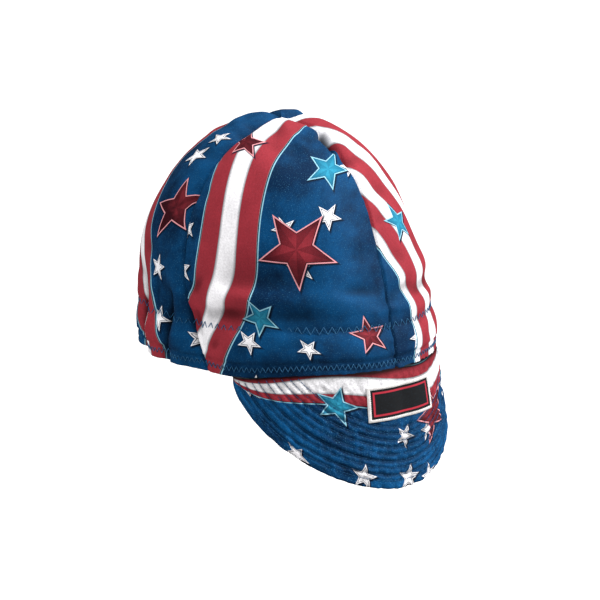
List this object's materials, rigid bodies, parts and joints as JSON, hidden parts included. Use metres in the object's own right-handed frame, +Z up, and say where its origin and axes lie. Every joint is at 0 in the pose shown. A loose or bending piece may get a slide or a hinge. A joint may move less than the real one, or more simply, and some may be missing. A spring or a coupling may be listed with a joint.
{
  "type": "welding cap",
  "caption": "Soft four-gore cotton cap with a deep crown, gathered back band and a short soft peak that hangs over the brow, in its worn shape.",
  "frame": {"origin": "middle of the rim opening, where the head goes in", "axes": "+Z up out of the crown, -Y forwards over the peak, +X to the wearer's left"},
  "size_m": [0.1745, 0.2085, 0.2136],
  "materials": {
    "crown_cloth": "printed cotton",
    "band_cloth": "printed cotton, wrong side out",
    "peak_cloth": "printed cotton, quilted in rows",
    "patch_cloth": "embroidered twill"
  },
  "bodies": {
    "root": {"gore_front_left": "crown_cloth", "gore_back_left": "crown_cloth", "gore_back_right": "crown_cloth", "gore_front_right": "crown_cloth", "headband": "band_cloth", "peak": "peak_cloth", "patch": "patch_cloth"}
  },
  "joints": []
}
